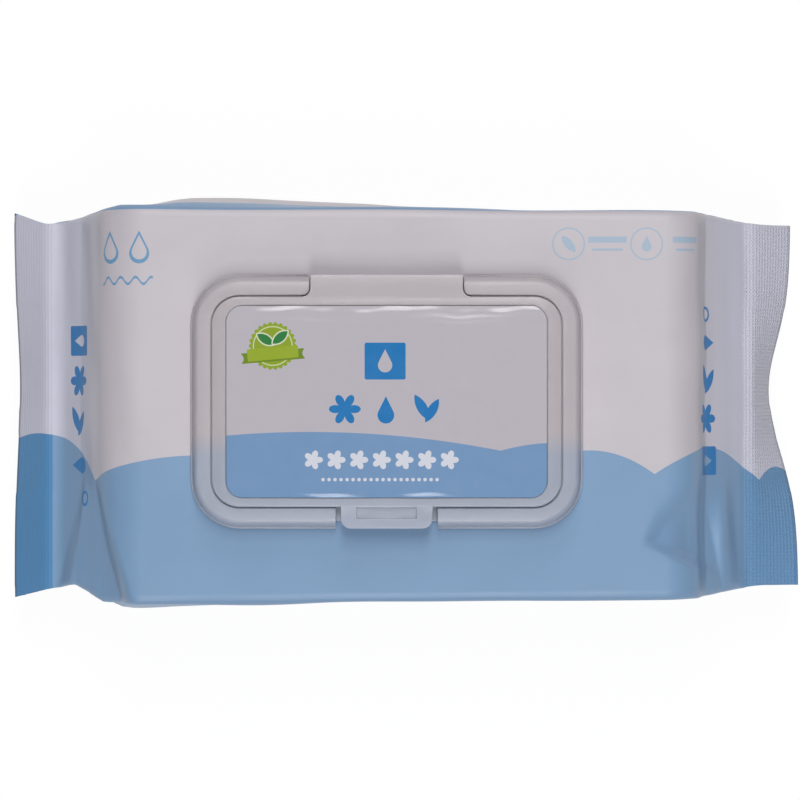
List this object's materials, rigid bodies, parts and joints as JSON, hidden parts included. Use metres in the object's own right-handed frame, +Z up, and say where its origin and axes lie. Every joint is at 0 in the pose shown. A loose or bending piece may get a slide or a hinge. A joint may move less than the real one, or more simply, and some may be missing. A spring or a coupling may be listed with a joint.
{
  "type": "wet wipes pack",
  "caption": "Soft printed film pouch of folded wet wipes, with crimped and tucked ends and a moulded flip lid on its front.",
  "frame": {"origin": "under the middle of the pack, on the surface that it lies on", "axes": "+Z up through the lid, +X along the pack, +Y towards the lid's hinge"},
  "size_m": [0.21, 0.1086, 0.0589],
  "materials": {
    "printed_film": "satin printed film",
    "nonwoven": "damp nonwoven",
    "moulded_white": "satin moulded plastic",
    "label_film": "glossy printed film"
  },
  "bodies": {
    "pack": {"film_pouch": "printed_film", "wipes_stack": "nonwoven", "lid_base": "moulded_white"},
    "lid": {"flip_lid": "moulded_white", "lid_label": "label_film"}
  },
  "joints": [
    {"name": "lid_hinge", "type": "hinge", "parent": "pack", "child": "lid", "pos_m": [-0.00456, 0.03248, 0.0583], "axis": [-1, 0, 0], "range_deg": [0, 135]}
  ]
}
